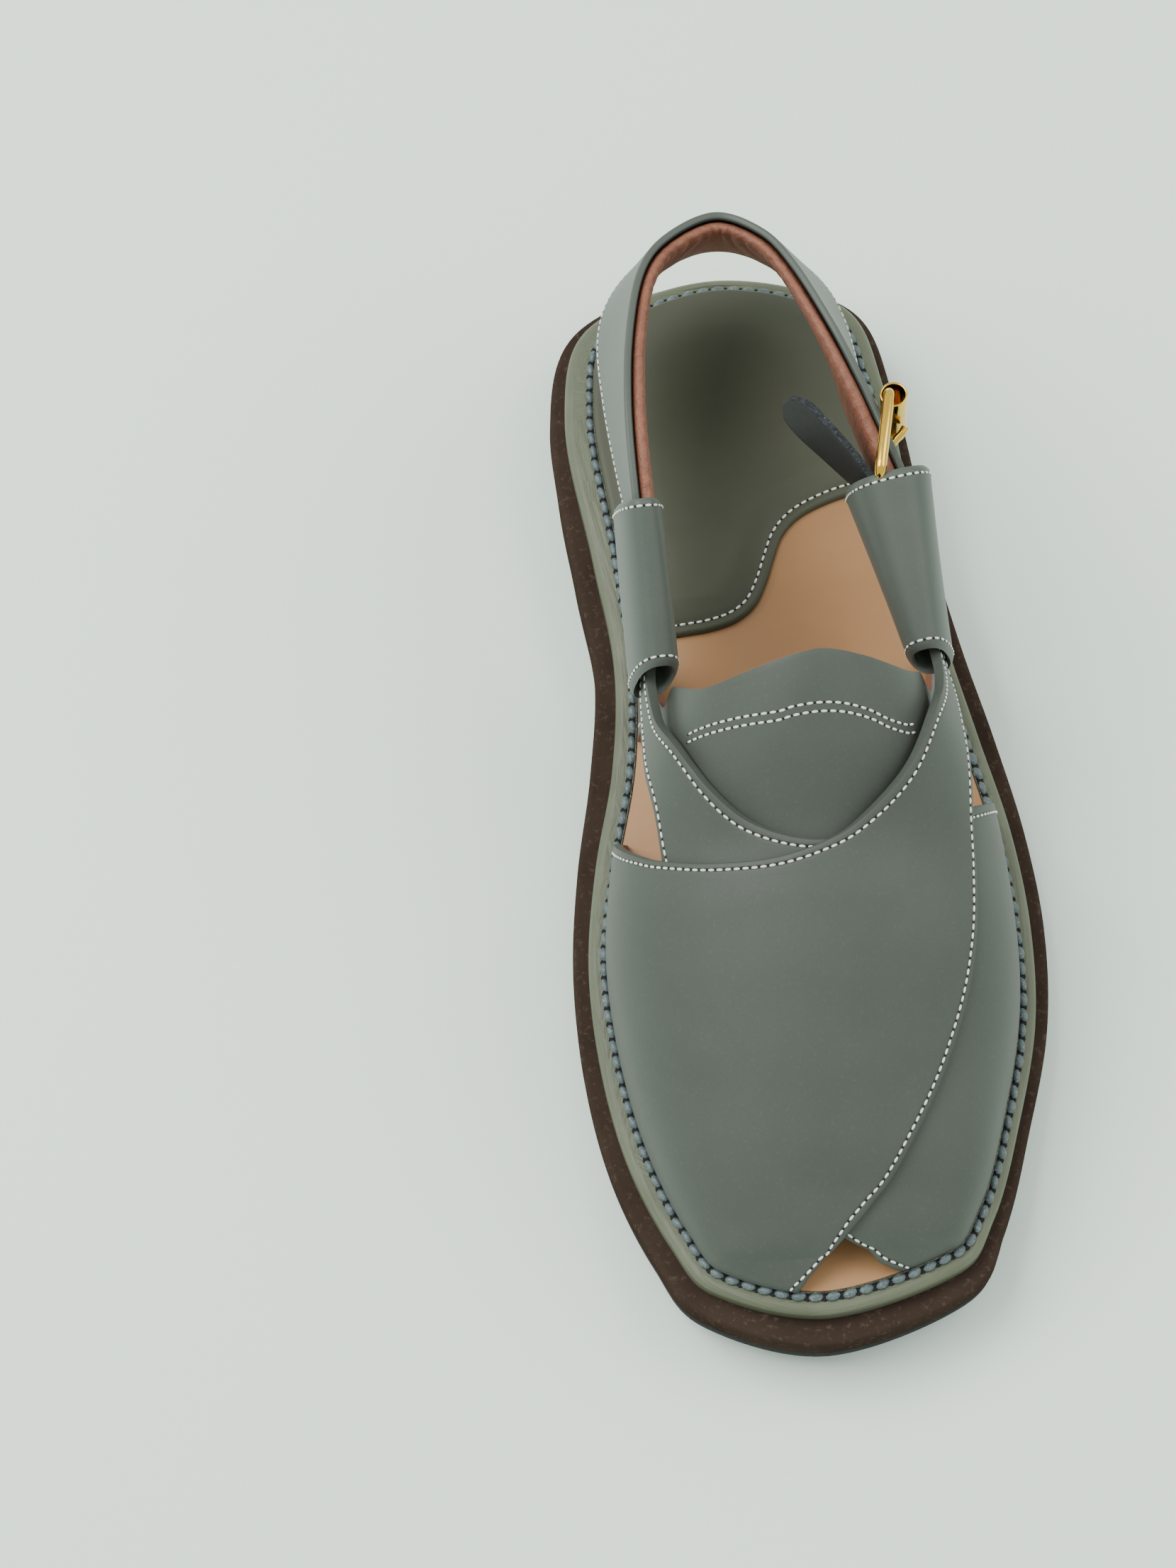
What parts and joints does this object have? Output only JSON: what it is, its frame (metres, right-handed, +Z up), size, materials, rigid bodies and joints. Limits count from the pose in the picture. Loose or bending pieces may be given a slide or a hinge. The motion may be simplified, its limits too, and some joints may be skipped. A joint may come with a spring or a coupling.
{
  "type": "peshawari chappal",
  "caption": "Closed strap sandal with crossed front straps, instep panel, padded heel strap in rolled sleeves, roller buckle and low wedge sole.",
  "frame": {"origin": "bottom centre of the bounding box, on the floor under the sole", "axes": "+Z up, +Y from toe to heel, +X towards the outer side of the left foot"},
  "size_m": [0.1185, 0.2914, 0.1012],
  "materials": {
    "outsole_rubber": "matte blue-black rubber",
    "midsole_brown": "matte brown foam rubber",
    "rand_leather": "satin sage-olive leather",
    "insole_tan": "smooth tan leather",
    "sock_leather": "soft olive leather with low gloss",
    "upper_nubuck": "matte grey-green nubuck",
    "buckle_brass": "polished gilt",
    "billet_leather": "matte black leather with cut edges"
  },
  "bodies": {
    "root": {"outsole": "outsole_rubber", "midsole": "midsole_brown", "rand": "rand_leather", "insole": "insole_tan", "heel_sock": "sock_leather", "upper": "upper_nubuck", "tongue": "upper_nubuck", "back_strap": "upper_nubuck", "sleeve_medial": "upper_nubuck", "sleeve_lateral": "upper_nubuck", "buckle_frame": "buckle_brass", "buckle_roller": "buckle_brass", "buckle_prong": "buckle_brass", "billet": "billet_leather"}
  },
  "joints": []
}
